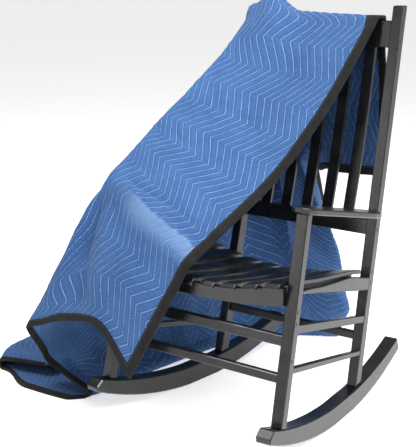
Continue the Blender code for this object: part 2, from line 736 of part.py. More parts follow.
def build_binding(grid, normals, mat):
    """The folded strip round the edge: a thin channel that holds both faces of the cloth."""
    rows, cols = len(grid), len(grid[0])
    inner_near = PAD_THICK / 2 + BINDING_GAP
    inner_far = inner_near + BINDING_THICK
    bm = bmesh.new()
    lips = {}

    def lip_points(i, j):
        """Four points where the strip ends on the cloth, made once for each grid point."""
        if (i, j) not in lips:
            heights = (inner_far, inner_near, -inner_near, -inner_far)
            lips[(i, j)] = [bm.verts.new(grid[i][j] + h * normals[i][j]) for h in heights]
        return lips[(i, j)]

    rings = []
    walk = border_walk(rows, cols)
    for p, (i, j) in enumerate(walk):
        m, n = min(max(i, 1), rows - 2), min(max(j, 1), cols - 2)
        lip = lip_points(m, n)
        edge, inner, normal = grid[i][j], grid[m][n], normals[i][j]
        is_corner = i in (0, rows - 1) and j in (0, cols - 1)
        outwards = edge - inner
        if not is_corner:
            run = grid[walk[(p + 1) % len(walk)]] - grid[walk[p - 1]]
            across_run = np.cross(normal, run)
            outwards = across_run if np.dot(across_run, outwards) > 0 else -across_run
        outwards = outwards - normal * float(np.dot(outwards, normal))
        outwards = outwards / np.linalg.norm(outwards)
        corner = math.sqrt(2) if is_corner else 1.0
        spine = []
        for h, reach in ((inner_far, BINDING_GAP + BINDING_THICK), (inner_near, BINDING_GAP),
                         (-inner_near, BINDING_GAP), (-inner_far, BINDING_GAP + BINDING_THICK)):
            spine.append(bm.verts.new(edge + h * normal + reach * corner * outwards))
        rings.append([lip[0], spine[0], spine[3], lip[3], lip[2], spine[2], spine[1], lip[1]])
    for p, (i, j) in enumerate(walk):
        q = (p + 1) % len(walk)
        k, n = walk[q]
        far_lip = (min(max(k, 1), rows - 2), min(max(n, 1), cols - 2))
        near_lip = (min(max(i, 1), rows - 2), min(max(j, 1), cols - 2))
        cell = (min(i, k, near_lip[0], far_lip[0]), min(j, n, near_lip[1], far_lip[1]))
        is_down = (far_lip[0] - i) * (far_lip[1] - j) > 0
        edge_to_lip = cut_down(grid, *cell) == is_down
        join_rings(bm, rings[p], rings[q], edge_to_lip, rises(grid, normals, (i, j), (k, n)))
    return finish_mesh("pad_binding", bm, mat)


def join_rings(bm, a, b, edge_to_lip, climbs):
    """Faces between two rings of the strip, cut the same way as the cloth below them."""
    spots_on_edge = (1, 2, 5, 6)
    for k in range(8):
        n = (k + 1) % 8
        corners = []
        for vert in (a[k], a[n], b[n], b[k]):
            if vert not in corners:
                corners.append(vert)
        if len(corners) < 3:
            continue
        on_edge = (k in spots_on_edge, n in spots_on_edge)
        if on_edge[0] == on_edge[1]:
            through_first = (k == 5) != climbs
        else:
            through_first = on_edge[0] == edge_to_lip
        if len(corners) == 3:
            bm.faces.new(corners)
        elif through_first:
            bm.faces.new((a[k], a[n], b[n]))
            bm.faces.new((a[k], b[n], b[k]))
        else:
            bm.faces.new((a[k], a[n], b[k]))
            bm.faces.new((a[n], b[n], b[k]))


def stand_on_origin():
    """Moves everything so that the middle of the whole footprint is the origin."""
    meshes = [o for o in bpy.data.objects if o.type == "MESH"]
    points = np.array([v.co[:] for o in meshes for v in o.data.vertices])
    low, high = points.min(axis=0), points.max(axis=0)
    shift = np.array([-(low[0] + high[0]) / 2, -(low[1] + high[1]) / 2, -low[2]])
    for obj in meshes:
        for vert in obj.data.vertices:
            vert.co = np.array(vert.co) + shift


def main():
    clear_scene()
    wood = make_material("chair_black_paint", (0.022, 0.022, 0.024), 0.38)
    cloth = make_material("pad_blue_cloth", (0.09, 0.20, 0.55), 0.9)
    tape = make_material("pad_black_binding", (0.02, 0.02, 0.022), 0.85)
    build_chair(wood)
    grid = pad_grid()
    normals = grid_normals(grid)
    build_pad(grid, normals, cloth)
    build_binding(grid, normals, tape)
    stand_on_origin()


main()
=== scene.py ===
"""Looks of a quilted moving pad draped over a black wooden rocking chair."""
import math

import bmesh
import bpy
import numpy as np
from mathutils import Matrix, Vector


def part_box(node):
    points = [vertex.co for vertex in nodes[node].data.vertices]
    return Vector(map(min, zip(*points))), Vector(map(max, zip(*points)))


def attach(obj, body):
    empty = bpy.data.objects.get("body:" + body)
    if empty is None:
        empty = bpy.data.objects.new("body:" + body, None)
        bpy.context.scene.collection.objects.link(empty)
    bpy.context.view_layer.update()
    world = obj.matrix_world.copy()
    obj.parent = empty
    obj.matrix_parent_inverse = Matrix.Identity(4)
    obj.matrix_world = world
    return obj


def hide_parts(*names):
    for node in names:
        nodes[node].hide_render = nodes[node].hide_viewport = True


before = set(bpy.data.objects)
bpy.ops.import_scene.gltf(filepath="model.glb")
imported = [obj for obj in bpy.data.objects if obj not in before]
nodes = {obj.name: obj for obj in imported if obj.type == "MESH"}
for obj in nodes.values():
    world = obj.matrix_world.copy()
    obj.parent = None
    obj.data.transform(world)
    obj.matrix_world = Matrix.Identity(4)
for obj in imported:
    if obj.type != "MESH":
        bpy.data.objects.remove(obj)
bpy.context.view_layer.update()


# Where the middle of a seat slat lies in the chair's own frame, from front to back.
SEAT_SLAT_MIDDLE = -0.1325


def chair_shift():
    """From the chair's own frame to the frame that the bodies are packed in."""
    lows = [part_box(n)[0] for n in ("rocker_left", "rocker_right")]
    highs = [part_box(n)[1] for n in ("rocker_left", "rocker_right")]
    x = (min(p.x for p in lows) + max(p.x for p in highs)) / 2
    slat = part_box("seat_slat_4")
    y = (slat[0].y + slat[1].y) / 2 - SEAT_SLAT_MIDDLE
    return np.array([x, y, 0.0])


SHIFT = chair_shift()

# The cloth, in the chair's frame: x from its middle to the sitter's left, y to its back.
# Lengths here are in metres.
PAD_THICK = 0.006
BINDING_WIDE = 0.026
BINDING_THICK = 0.0011
BINDING_GAP = 0.0003
FLOOR_EDGE_Z = PAD_THICK / 2 + BINDING_GAP + BINDING_THICK
# Where the cloth turns under or over itself on the floor, it goes round a half circle.
FOLD_RADIUS = 0.016
HALF_TURN_STEPS = 4
FAR_EDGE_RISE = 0.006
# The drape: sections of the cloth at growing distances from its back hem.
DRAPE = (
    # (from the back hem,
    #  near edge, slope, brow,
    #  fold, wall, low wall,
    #  foot, toe, floor, turn, far edge: only x and y, because these lie on the floor)
    (0.00,
     (0.185, 0.354, 0.635), (0.030, 0.366, 0.625), (-0.045, 0.412, 0.622),
     (-0.115, 0.472, 0.598), (-0.105, 0.550, 0.330), (-0.105, 0.612, 0.110),
     (-0.130, 0.645), (-0.210, 0.660), (-0.340, 0.690), (-0.480, 0.730), (-0.340, 0.700)),
    (0.12,
     (0.184, 0.354, 0.752), (0.025, 0.354, 0.745), (-0.085, 0.357, 0.722),
     (-0.125, 0.374, 0.645), (-0.042, 0.462, 0.310), (-0.025, 0.530, 0.120),
     (-0.070, 0.570), (-0.150, 0.600), (-0.330, 0.640), (-0.510, 0.690), (-0.340, 0.650)),
    (0.24,
     (0.181, 0.354, 0.870), (0.018, 0.354, 0.870), (-0.125, 0.358, 0.862),
     (-0.225, 0.374, 0.800), (-0.190, 0.425, 0.430), (-0.125, 0.500, 0.110),
     (-0.125, 0.530), (-0.200, 0.555), (-0.380, 0.600), (-0.570, 0.660), (-0.380, 0.610)),
    (0.43,
     (0.165, 0.358, 1.060), (-0.030, 0.358, 1.060), (-0.200, 0.384, 1.090),
     (-0.262, 0.386, 1.045), (-0.262, 0.430, 0.530), (-0.190, 0.480, 0.100),
     (-0.175, 0.500), (-0.250, 0.520), (-0.440, 0.560), (-0.640, 0.610), (-0.440, 0.560)),
    (0.465,
     (0.167, 0.3525, 1.1048), (-0.115, 0.3525, 1.108), (-0.221, 0.378, 1.149),
     (-0.288, 0.366, 1.107), (-0.300, 0.402, 0.530), (-0.220, 0.465, 0.100),
     (-0.195, 0.485), (-0.270, 0.505), (-0.460, 0.540), (-0.660, 0.590), (-0.460, 0.540)),
    (0.490,
     (0.165, 0.323, 1.1055), (-0.115, 0.323, 1.108), (-0.221, 0.335, 1.152),
     (-0.290, 0.327, 1.118), (-0.315, 0.370, 0.530), (-0.245, 0.445, 0.100),
     (-0.215, 0.465), (-0.290, 0.485), (-0.480, 0.520), (-0.680, 0.560), (-0.480, 0.515)),
    (0.53,
     (0.161, 0.293, 1.076), (-0.040, 0.294, 1.080), (-0.200, 0.288, 1.112),
     (-0.278, 0.283, 1.076), (-0.330, 0.330, 0.530), (-0.280, 0.415, 0.100),
     (-0.250, 0.435), (-0.330, 0.450), (-0.510, 0.480), (-0.710, 0.510), (-0.510, 0.475)),
    (0.62,
     (0.146, 0.242, 1.004), (-0.048, 0.239, 1.012), (-0.192, 0.225, 1.031),
     (-0.279, 0.214, 1.025), (-0.352, 0.253, 0.520), (-0.327, 0.349, 0.100),
     (-0.298, 0.364), (-0.378, 0.378), (-0.550, 0.405), (-0.749, 0.427), (-0.545, 0.402)),
    (0.72,
     (0.125, 0.190, 0.921), (-0.060, 0.180, 0.935), (-0.187, 0.165, 0.957),
     (-0.275, 0.145, 0.979), (-0.370, 0.180, 0.500), (-0.360, 0.280, 0.100),
     (-0.330, 0.290), (-0.410, 0.305), (-0.580, 0.330), (-0.780, 0.350), (-0.570, 0.330)),
    (0.84,
     (0.096, 0.121, 0.824), (-0.084, 0.099, 0.858), (-0.199, 0.075, 0.889),
     (-0.283, 0.049, 0.919), (-0.388, 0.109, 0.472), (-0.381, 0.209, 0.100),
     (-0.346, 0.218), (-0.427, 0.231), (-0.600, 0.250), (-0.809, 0.265), (-0.592, 0.250)),
    (1.02,
     (0.052, 0.005, 0.692), (-0.115, -0.030, 0.752), (-0.220, -0.060, 0.800),
     (-0.300, -0.085, 0.832), (-0.400, 0.020, 0.430), (-0.400, 0.120, 0.100),
     (-0.360, 0.130), (-0.440, 0.140), (-0.620, 0.150), (-0.840, 0.160), (-0.610, 0.150)),
    (1.44,
     (-0.012, -0.360, 0.482), (-0.164, -0.340, 0.589), (-0.250, -0.330, 0.640),
     (-0.326, -0.308, 0.682), (-0.440, -0.170, 0.360), (-0.430, -0.060, 0.100),
     (-0.380, -0.050), (-0.455, -0.045), (-0.650, -0.040), (-0.880, -0.030), (-0.620, -0.030)),
    (1.63,
     (-0.085, -0.400, 0.320), (-0.225, -0.405, 0.450), (-0.350, -0.395, 0.450),
     (-0.464, -0.402, 0.390), (-0.530, -0.270, 0.220), (-0.470, -0.225, 0.090),
     (-0.385, -0.205), (-0.450, -0.220), (-0.640, -0.225), (-0.860, -0.215), (-0.590, -0.190)),
    (1.83,
     (-0.165, -0.430, 0.155), (-0.305, -0.432, 0.288), (-0.430, -0.424, 0.266),
     (-0.568, -0.420, 0.214), (-0.576, -0.345, 0.095), (-0.505, -0.332, 0.050),
     (-0.412, -0.335), (-0.462, -0.380), (-0.620, -0.388), (-0.795, -0.330), (-0.610, -0.293)),
)
# Distance from the near edge of every place of a section, the same in every row. The
# foot and the turn are half circles, each spread over several places.
PLACES_ACROSS = (0.00, 0.185, 0.30, 0.42, 0.80, 1.13, 1.19, 1.203, 1.216, 1.229, 1.242,
                 1.30, 1.50, 1.74, 1.753, 1.766, 1.779, 1.792, 2.03)
# Where the cloth bends more sharply: the knee over the seat's front and the outer fold. On
# both sides of a bend, BEND_HALF of the cloth's length runs straight and spans BEND_REACH in
# space, or at most a share of the way to the next place.
KNEE_AT = 1.44
OUTER_FOLD_AT = 0.42
BEND_HALF = 0.066
BEND_REACH = 0.061
BEND_SHARE_MAX = 0.45

# Upright folds that the hanging far side falls into: how far apart along the hem, how many, how
# deep, and between which distances from the near edge.
FLUTE_PITCH = 0.315
FLUTE_COUNT = 4
FLUTE_DEEP = 0.070
FLUTES_ACROSS = (0.45, 1.12)

# The quilting: zigzag stitch lines running from the back hem to the front hem.
STITCH_PITCH = 0.0230
STITCH_SWING = 0.0265
STITCH_PERIOD = 0.21
STITCH_PEAK_AT = 1.24
STITCH_START = 0.0069
# The padding's rise between two lines, how blunt its top is, and how far the lines pull it in.
STITCH_PUFF = 0.0015
PUFF_BLUNT = 2.2
STITCH_SINK = 0.0004
PUFF_FADE = 0.006
# The lines slant, so that square to their run they lie closer than across the cloth.
STITCH_LEAN = 0.893
STITCH_LENGTH = 0.0062
STITCH_WOBBLE = 0.0024
# The thread: half its width, how soft its sides are, and how much of it shows where it is worn.
THREAD_HALF = 0.0010
THREAD_SOFT = 0.35
THREAD_KEPT = 0.60
DENT_HALF = 0.0042

# The sheet's grid. Its even rows start this many half periods of the zigzag before the peak,
# and rows and columns go on while at least so many steps are left before the binding.
COLUMNS_A_PITCH = 3
ROWS_A_PERIOD = 24
ROW_STEP = STITCH_PERIOD / ROWS_A_PERIOD
HALF_PERIODS_TO_PEAK = 11
BINDING_STEP = 0.009
STEPS_LEFT_MIN = 1.3
# The part that the photo shows has fine columns, and so have the turns on the floor.
FINE_COLUMNS_END = 0.538
FLOOR_TURNS = ((1.18, 1.245), (1.735, 1.795))
FLOOR_TURN_STEP = 0.0055
# The columns follow the zigzag between the binding and the floor.
SWING_END = 1.13
SWING_FADE = 0.06

# Unevenness of the padded cloth, from a noise table of this many cells a side: size of a lump,
# seed, height.
NOISE_CELLS = 64
LUMPS = ((0.085, 3, 0.0016), (0.034, 5, 0.0007))
# Shallow folds of the slack part, drawn out across the cloth.
SLACK_FOLD_CELL = 0.16
SLACK_FOLD_SEED = 8
SLACK_FOLD_HEIGHT = 0.006
SLACK_FOLD_STRETCH = 3.2
SLACK_FADE = 0.25
# The part that lies on the floor is calmer, and between its turns it is flat.
LYING_FROM = 1.12
LYING_FADE = 0.08
LYING_CALM = 0.8
FLAT_ON_FLOOR = (1.2, 1.76)
# A crease tapers to both ends, down to the height that it has at this share of its length.
CREASE_TAPER = 0.04

# The binding: grid columns under it, cross puckers (slant, size, seed, height), ribs and seam.
BINDING_LANES = 3
PUCKERS = ((0.2, 0.021, 21, 0.00050), (0.3, 0.008, 22, 0.00030))
RIB_PITCH = 0.0021
BINDING_SEAM_IN = 0.0045
# Its rounded back: share of the half height, and reach in strip thicknesses. The corners of
# its hollow stay a little within the hollow's half height.
BINDING_BACK = ((0.75, 0.75), (0.0, 1.1), (-0.75, 0.75))
BINDING_INSIDE = 0.97

# The painted highlight under the knee edge, a paler band where the lower facet turns to the light:
# where the edge lies at the near side and further in, over which distance it goes from one to the
# other, its ragged outline and how far down it fades.
KNEE_EDGE = (1.386, 1.422)
KNEE_EDGE_RUN = 0.20
KNEE_RAGGED = 0.016
KNEE_HIGHLIGHT_LONG = 0.085
KNEE_HIGHLIGHT_WIDE = 0.34
WEAVE_PITCH = 0.0016

# Colours of cloth, thread, binding, paint and floor.
CLOTH_DEEP = (0.015, 0.054, 0.170, 1.0)
CLOTH_LIGHT = (0.026, 0.078, 0.212, 1.0)
CLOTH_FIBRE = (0.070, 0.155, 0.305, 1.0)
# Lighter blue on the crowns between the stitch lines: painted light on the puffed tops.
CLOTH_CROWN_PAINTED_LIGHT = (0.060, 0.135, 0.300, 1.0)
# Dark blue for a random darker mottle, and for painted shade in the dents beside the stitch lines.
CLOTH_MOTTLE_AND_SEAM_SHADE = (0.013, 0.042, 0.140, 1.0)
# Pale blue for the painted highlight in the band under the knee edge.
CLOTH_PAINTED_HIGHLIGHT = (0.150, 0.250, 0.420, 1.0)
THREAD_COLOUR = (0.190, 0.330, 0.560, 1.0)
BINDING_DEEP = (0.0035, 0.0035, 0.0038, 1.0)
BINDING_LIGHT = (0.009, 0.009, 0.0095, 1.0)
BINDING_RIB = (0.018, 0.018, 0.019, 1.0)
BINDING_THREAD = (0.045, 0.045, 0.048, 1.0)
PAINT_DEEP = (0.0030, 0.0030, 0.0034, 1.0)
PAINT_LIGHT = (0.0060, 0.0060, 0.0065, 1.0)
PAINT_GRAIN = (0.0130, 0.0130, 0.0135, 1.0)
FLOOR_DEEP = (0.86, 0.86, 0.865, 1.0)
FLOOR_LIGHT = (0.90, 0.90, 0.90, 1.0)
FLOOR_GLOW = (1.0, 1.0, 1.0, 1.0)
FLOOR_GLOW_STRENGTH = 0.58

# Soft creases laid over the drape. Each runs from one place on the cloth to another;
# a negative height is a trough, and a sharp one has a small width.
CREASES = (
    # from hem, from edge, to: from hem, from edge, half width, height
    (1.405, 0.345, 1.380, 0.243, 0.012, -0.0080),
    (1.380, 0.243, 1.347, 0.146, 0.012, -0.0080),
    (1.347, 0.146, 1.334, 0.044, 0.012, -0.0070),
    (1.334, 0.044, 1.328, 0.000, 0.011, -0.0040),
    (1.418, 0.310, 1.422, 0.192, 0.013, 0.0120),
    (1.422, 0.192, 1.404, 0.090, 0.013, 0.0120),
    (1.404, 0.090, 1.386, 0.006, 0.013, 0.0090),
    (1.373, 0.200, 1.370, 0.120, 0.006, -0.0022),
    (1.540, 0.362, 1.654, 0.295, 0.024, -0.0220),
    (1.654, 0.295, 1.775, 0.262, 0.026, -0.0200),
    (1.505, 0.335, 1.597, 0.260, 0.030, 0.0120),
    (1.597, 0.260, 1.780, 0.175, 0.034, 0.0130),
    (1.500, 0.450, 1.614, 0.372, 0.020, 0.0100),
    (1.614, 0.372, 1.770, 0.354, 0.020, 0.0110),
    (1.500, 0.414, 1.560, 0.332, 0.010, -0.0046),
    (1.487, 0.381, 1.548, 0.296, 0.009, -0.0040),
    (1.458, 0.352, 1.546, 0.256, 0.010, -0.0040),
    (1.480, 0.300, 1.560, 0.200, 0.014, -0.0030),
    (1.500, 0.180, 1.620, 0.120, 0.020, -0.0030),
    (0.780, 0.325, 0.860, 0.270, 0.009, -0.0040),
    (0.800, 0.372, 0.900, 0.300, 0.010, -0.0048),
    (0.860, 0.350, 0.940, 0.255, 0.009, -0.0042),
    (0.890, 0.300, 0.930, 0.165, 0.010, -0.0038),
    (0.900, 0.390, 1.015, 0.322, 0.010, -0.0050),
    (0.950, 0.330, 1.000, 0.200, 0.011, -0.0036),
    (0.620, 0.400, 0.760, 0.330, 0.012, -0.0040),
    (0.905, 0.262, 0.830, 0.200, 0.009, -0.0030),
    (1.040, 0.365, 1.125, 0.290, 0.010, -0.0034),
    (1.120, 0.380, 1.230, 0.330, 0.012, -0.0034),
    (0.520, 0.345, 0.600, 0.290, 0.012, -0.0030),
)


def half_turn(tip, towards, downwards):
    """Points of a half circle on the floor whose outermost place is the tip."""
    inwards = (towards - tip) / np.linalg.norm(towards - tip)
    middle = tip + inwards * FOLD_RADIUS
    points = []
    for step in range(HALF_TURN_STEPS + 1):
        angle = math.pi * step / HALF_TURN_STEPS - math.pi / 2
        out = middle - inwards * FOLD_RADIUS * math.cos(angle)
        rise = -math.sin(angle) if downwards else math.sin(angle)
        points.append((out[0], out[1], FLOOR_EDGE_Z + FOLD_RADIUS * (1 + rise)))
    return points


def section_places(row):
    """The section's places as 3-D points, with the floor folds given their heights."""
    points = list(row[1:7])
    foot, toe, floor, turn, far = (np.array(p) for p in row[7:12])
    points += half_turn(foot, toe, True)
    points.append((toe[0], toe[1], FLOOR_EDGE_Z))
    points.append((floor[0], floor[1], FLOOR_EDGE_Z))
    points += half_turn(turn, far, False)
    points.append((far[0], far[1], FLOOR_EDGE_Z + 2 * FOLD_RADIUS + FAR_EDGE_RISE))
    return np.array(points)


def tangents(keys, values):
    """Slopes at all keys: nothing where the curve turns, else between its neighbours' slopes."""
    keys = np.array(keys)
    shape = (-1,) + (1,) * (values.ndim - 1)
    h = np.diff(keys).reshape(shape)
    s = np.diff(values, axis=0) / h
    out = np.zeros_like(values)
    out[0], out[-1] = s[0], s[-1]
    s0, s1, h0, h1 = s[:-1], s[1:], h[:-1], h[1:]
    turning = s0 * s1 <= 0
    safe0, safe1 = np.where(turning, 1.0, s0), np.where(turning, 1.0, s1)
    w0, w1 = 2 * h1 + h0, h1 + 2 * h0
    out[1:-1] = np.where(turning, 0.0, (w0 + w1) / (w0 / safe0 + w1 / safe1))
    for i in range(1, len(keys) - 1):
        if keys[i] in (KNEE_AT, OUTER_FOLD_AT):
            out[i] = (values[i + 1] - values[i - 1]) / (keys[i + 1] - keys[i - 1])
    return out


def read_curve(keys, values, slopes, at):
    """The smooth curve through values at keys, read at many places at once."""
    keys = np.array(keys)
    at = np.asarray(at)
    k = np.clip(np.searchsorted(keys, at) - 1, 0, len(keys) - 2)
    h = keys[k + 1] - keys[k]
    u = (at - keys[k]) / h
    tail = (Ellipsis,) + (None,) * (values.ndim - 1)
    h, u = h[tail], u[tail]
    return (values[k] * (2 * u ** 3 - 3 * u ** 2 + 1) + slopes[k] * h * (u ** 3 - 2 * u ** 2 + u)
            + values[k + 1] * (3 * u ** 2 - 2 * u ** 3) + slopes[k + 1] * h * (u ** 3 - u ** 2))


def with_bend(keys, values, at):
    """Adds a straight run on both sides of one key, so that the curve bends close to it."""
    keys = list(keys)
    values = [np.array(v) for v in values]
    k = keys.index(at)
    beside = []
    for other in (values[k - 1], values[k + 1]):
        away = other - values[k]
        length = np.linalg.norm(away, axis=-1, keepdims=True)
        beside.append(values[k] + away * np.minimum(BEND_SHARE_MAX, BEND_REACH / length))
    new_keys = keys[:k] + [at - BEND_HALF, at, at + BEND_HALF] + keys[k + 1:]
    new_values = values[:k] + [beside[0], values[k], beside[1]] + values[k + 1:]
    return new_keys, np.array(new_values)


def drape_net():
    """Keys along and across and the net of places, with both bends put in."""
    places = np.array([section_places(row) for row in DRAPE])
    along, net = with_bend([row[0] for row in DRAPE], places, KNEE_AT)
    across, net = with_bend(PLACES_ACROSS, net.transpose(1, 0, 2), OUTER_FOLD_AT)
    return along, across, net


ALONG_KEYS, ACROSS_KEYS, NET = drape_net()
NET_SLOPES = tangents(ACROSS_KEYS, NET)
LONG, WIDE = ALONG_KEYS[-1], ACROSS_KEYS[-1]


def flutes(along, across):
    """How the upright folds of the hanging side move the places of one row outwards."""
    low, high = FLUTES_ACROSS
    if along > FLUTE_COUNT * FLUTE_PITCH:
        return np.zeros((len(across), 3))
    inside = np.clip((across - low) / (high - low), 0, 1)
    swell = math.sin(math.pi * along / FLUTE_PITCH) * np.sin(np.pi * inside)
    facing = math.pi / 2 * min(1.0, along / (2 * FLUTE_PITCH))
    return FLUTE_DEEP * swell[:, None] ** 2 * np.array([-math.sin(facing), math.cos(facing), 0.0])


def middles(alongs, acrosses):
    """Middle of the cloth at a row of distances along, each with its own distances across."""
    out = []
    for along, places in zip(alongs, acrosses):
        rows = read_curve(ACROSS_KEYS, NET, NET_SLOPES, places).transpose(1, 0, 2)
        slopes = tangents(ALONG_KEYS, rows)
        row = read_curve(ALONG_KEYS, rows, slopes, np.array([along]))[0]
        out.append(row + flutes(along, places))
    return np.array(out)


def grid_normals(points):
    """At each grid point the mean direction of the cells around it."""
    down = points[1:, 1:] - points[:-1, :-1]
    up = points[:-1, 1:] - points[1:, :-1]
    cells = np.cross(up, down)
    cells /= np.linalg.norm(cells, axis=2, keepdims=True)
    total = np.zeros_like(points)
    for di in (0, 1):
        for dj in (0, 1):
            total[di:di + cells.shape[0], dj:dj + cells.shape[1]] += cells
    return total / np.linalg.norm(total, axis=2, keepdims=True)


def zigzag(along):
    """The sideways swing of the stitch lines at a distance from the back hem."""
    part = ((along - STITCH_PEAK_AT) / STITCH_PERIOD) % 1.0
    return STITCH_SWING * (4 * np.abs(part - 0.5) - 1)


def soft_noise(a, b, cell, seed):
    """Smooth value noise over the flat cloth, between -1 and 1."""
    rng = np.random.default_rng(seed)
    table = rng.uniform(-1, 1, (NOISE_CELLS, NOISE_CELLS))
    x, y = a / cell, b / cell
    i, j = np.floor(x).astype(int), np.floor(y).astype(int)
    u, v = x - i, y - j
    u, v = u * u * (3 - 2 * u), v * v * (3 - 2 * v)
    corner = [table[(i + di) % NOISE_CELLS, (j + dj) % NOISE_CELLS]
              for di in (0, 1) for dj in (0, 1)]
    return ((corner[0] * (1 - v) + corner[1] * v) * (1 - u)
            + (corner[2] * (1 - v) + corner[3] * v) * u)


def crease_lift(along, across):
    """Height of all creases at places on the cloth."""
    lift = np.zeros_like(across)
    for s0, v0, s1, v1, half, height in CREASES:
        ds, dv = s1 - s0, v1 - v0
        t = np.clip(((along - s0) * ds + (across - v0) * dv) / (ds * ds + dv * dv), 0, 1)
        away = np.hypot(along - s0 - t * ds, across - v0 - t * dv) / half
        taper = np.sin(np.pi * np.clip(t, CREASE_TAPER, 1 - CREASE_TAPER)) ** 0.5
        lift += height * taper * np.exp(-away ** 2)
    return lift


def wrinkle_lift(along, across):
    """Small unevenness of a padded cloth, with shallow folds where it hangs."""
    slack = np.clip((across - OUTER_FOLD_AT) / SLACK_FADE, 0, 1)
    on_floor = np.clip((across - LYING_FROM) / LYING_FADE, 0, 1)
    rough = sum(soft_noise(along, across, cell, seed) * height for cell, seed, height in LUMPS)
    folds = SLACK_FOLD_HEIGHT * soft_noise(along * SLACK_FOLD_STRETCH, across,
                                           SLACK_FOLD_CELL, SLACK_FOLD_SEED)
    return rough * (1 - LYING_CALM * on_floor) + folds * slack * (1 - on_floor)


def spaced(low, high, step):
    """Even places after low up to high, about a step apart."""
    count = max(1, round((high - low) / step))
    return [low + (high - low) * (i + 1) / count for i in range(count)]


def cloth_rows():
    """Distances of the grid's rows from the back hem; every turn of the zigzag has one."""
    rows = [0.0] + spaced(0.0, BINDING_WIDE, BINDING_STEP)
    start = STITCH_PEAK_AT - STITCH_PERIOD / 2 * HALF_PERIODS_TO_PEAK
    rows += spaced(BINDING_WIDE, start, ROW_STEP)
    inner_end = LONG - BINDING_WIDE
    while rows[-1] + ROW_STEP * STEPS_LEFT_MIN < inner_end:
        rows.append(rows[-1] + ROW_STEP)
    return rows + [inner_end] + spaced(inner_end, LONG, BINDING_STEP)


def cloth_columns():
    """Distances of the grid's columns from the near edge, closer where the photo shows them."""
    step = STITCH_PITCH / COLUMNS_A_PITCH
    columns = [0.0] + spaced(0.0, BINDING_WIDE, BINDING_STEP)
    columns += spaced(BINDING_WIDE, STITCH_START + 2 * STITCH_PITCH, step)
    inner_end = WIDE - BINDING_WIDE
    while columns[-1] + step * STEPS_LEFT_MIN < inner_end:
        last = columns[-1]
        if any(low < last < high for low, high in FLOOR_TURNS):
            columns.append(last + FLOOR_TURN_STEP)
        elif last > FINE_COLUMNS_END:
            columns.append(last + STITCH_PITCH / 2)
        else:
            columns.append(last + step)
    return columns + [inner_end] + spaced(inner_end, WIDE, BINDING_STEP)


def swing_share(along, across):
    """How far grid lines follow the zigzag: not at the edges and not in the floor folds."""
    room = np.maximum(np.minimum(across - BINDING_WIDE, SWING_END - across), 0) / SWING_FADE
    ends = max(0.0, min(along - BINDING_WIDE, LONG - BINDING_WIDE - along)) / SWING_FADE
    return np.clip(room, 0, 1) * min(1.0, ends)


def cloth_grid():
    """Distances along and across, middles and normals of the cloth at every grid point."""
    rows = np.array(cloth_rows())
    columns = np.array(cloth_columns())
    across = np.array([columns + zigzag(s) * swing_share(s, columns) for s in rows])
    along = np.repeat(rows[:, None], len(columns), axis=1)
    points = middles(rows, across)
    normals = grid_normals(points)
    lift = crease_lift(along, across) + wrinkle_lift(along, across)
    flat = (across > FLAT_ON_FLOOR[0]) & (across < FLAT_ON_FLOOR[1])
    points = points + normals * np.where(flat, 0.0, lift)[..., None]
    points[..., 2] = np.maximum(points[..., 2], FLOOR_EDGE_Z)
    return along, across, points, grid_normals(points)


def puff_at(along, across):
    """Rise of the padding between the stitch lines, none under the binding."""
    phase = ((across - zigzag(along) - STITCH_START) / STITCH_PITCH) % 1.0
    rise = STITCH_PUFF * (1 - np.abs(2 * phase - 1) ** PUFF_BLUNT)
    rim = np.minimum.reduce([across, WIDE - across, along, LONG - along])
    return (rise - STITCH_SINK) * np.clip((rim - BINDING_WIDE) / PUFF_FADE, 0, 1)


def mesh_object(name, points, faces, material, uvs=None):
    """A new piece at the origin with its finish, riding on the part's one body."""
    mesh = bpy.data.meshes.new(name)
    mesh.from_pydata([tuple(p) for p in points], [], faces)
    if uvs is not None:
        layer = mesh.uv_layers.new(name="flat_cloth")
        corners = np.empty(len(mesh.loops), dtype=np.int32)
        mesh.loops.foreach_get("vertex_index", corners)
        layer.data.foreach_set("uv", np.asarray(uvs, dtype=np.float32)[corners].ravel())
    bm = bmesh.new()
    bm.from_mesh(mesh)
    bmesh.ops.recalc_face_normals(bm, faces=bm.faces)
    bm.to_mesh(mesh)
    bm.free()
    mesh.polygons.foreach_set("use_smooth", [True] * len(mesh.polygons))
    obj = bpy.data.objects.new(name, mesh)
    bpy.context.scene.collection.objects.link(obj)
    mesh.materials.append(material)
    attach(obj, "root")
    return obj


def border_walk(rows, cols):
    """Once round the grid's border."""
    walk = [(0, j) for j in range(cols - 1)]
    walk += [(i, cols - 1) for i in range(rows - 1)]
    walk += [(rows - 1, j) for j in range(cols - 1, 0, -1)]
    walk += [(i, 0) for i in range(rows - 1, 0, -1)]
    return walk


def build_cloth(grid, material):
    """The quilted cloth as one closed thin sheet."""
    along, across, points, normals = grid
    rows, cols = along.shape
    half = PAD_THICK / 2 + puff_at(along, across)
    top = points + normals * half[..., None] + SHIFT
    under = points - normals * half[..., None] + SHIFT
    vertices = np.concatenate([top.reshape(-1, 3), under.reshape(-1, 3)])
    flat = np.stack([across, along], axis=-1).reshape(-1, 2)
    uvs = np.concatenate([flat, flat])
    count = rows * cols
    faces = []
    for i in range(rows - 1):
        for j in range(cols - 1):
            a = i * cols + j
            faces.append((a, a + 1, a + cols + 1, a + cols))
            faces.append((a + count, a + cols + count, a + cols + 1 + count, a + 1 + count))
    walk = border_walk(rows, cols)
    for (i, j), (m, n) in zip(walk, walk[1:] + walk[:1]):
        a, b = i * cols + j, m * cols + n
        faces.append((a, b, b + count, a + count))
    return mesh_object("quilted_cloth", vertices, faces, material, uvs)


def strip_pucker(along, across):
    """Small cross puckers of the binding, the same on all of its depth."""
    beside_side = np.minimum(across, WIDE - across) < np.minimum(along, LONG - along)
    run = np.where(beside_side, along, across)
    return sum(height * np.abs(soft_noise(run, across * slant + along * slant, cell, seed))
               for slant, cell, seed, height in PUCKERS)


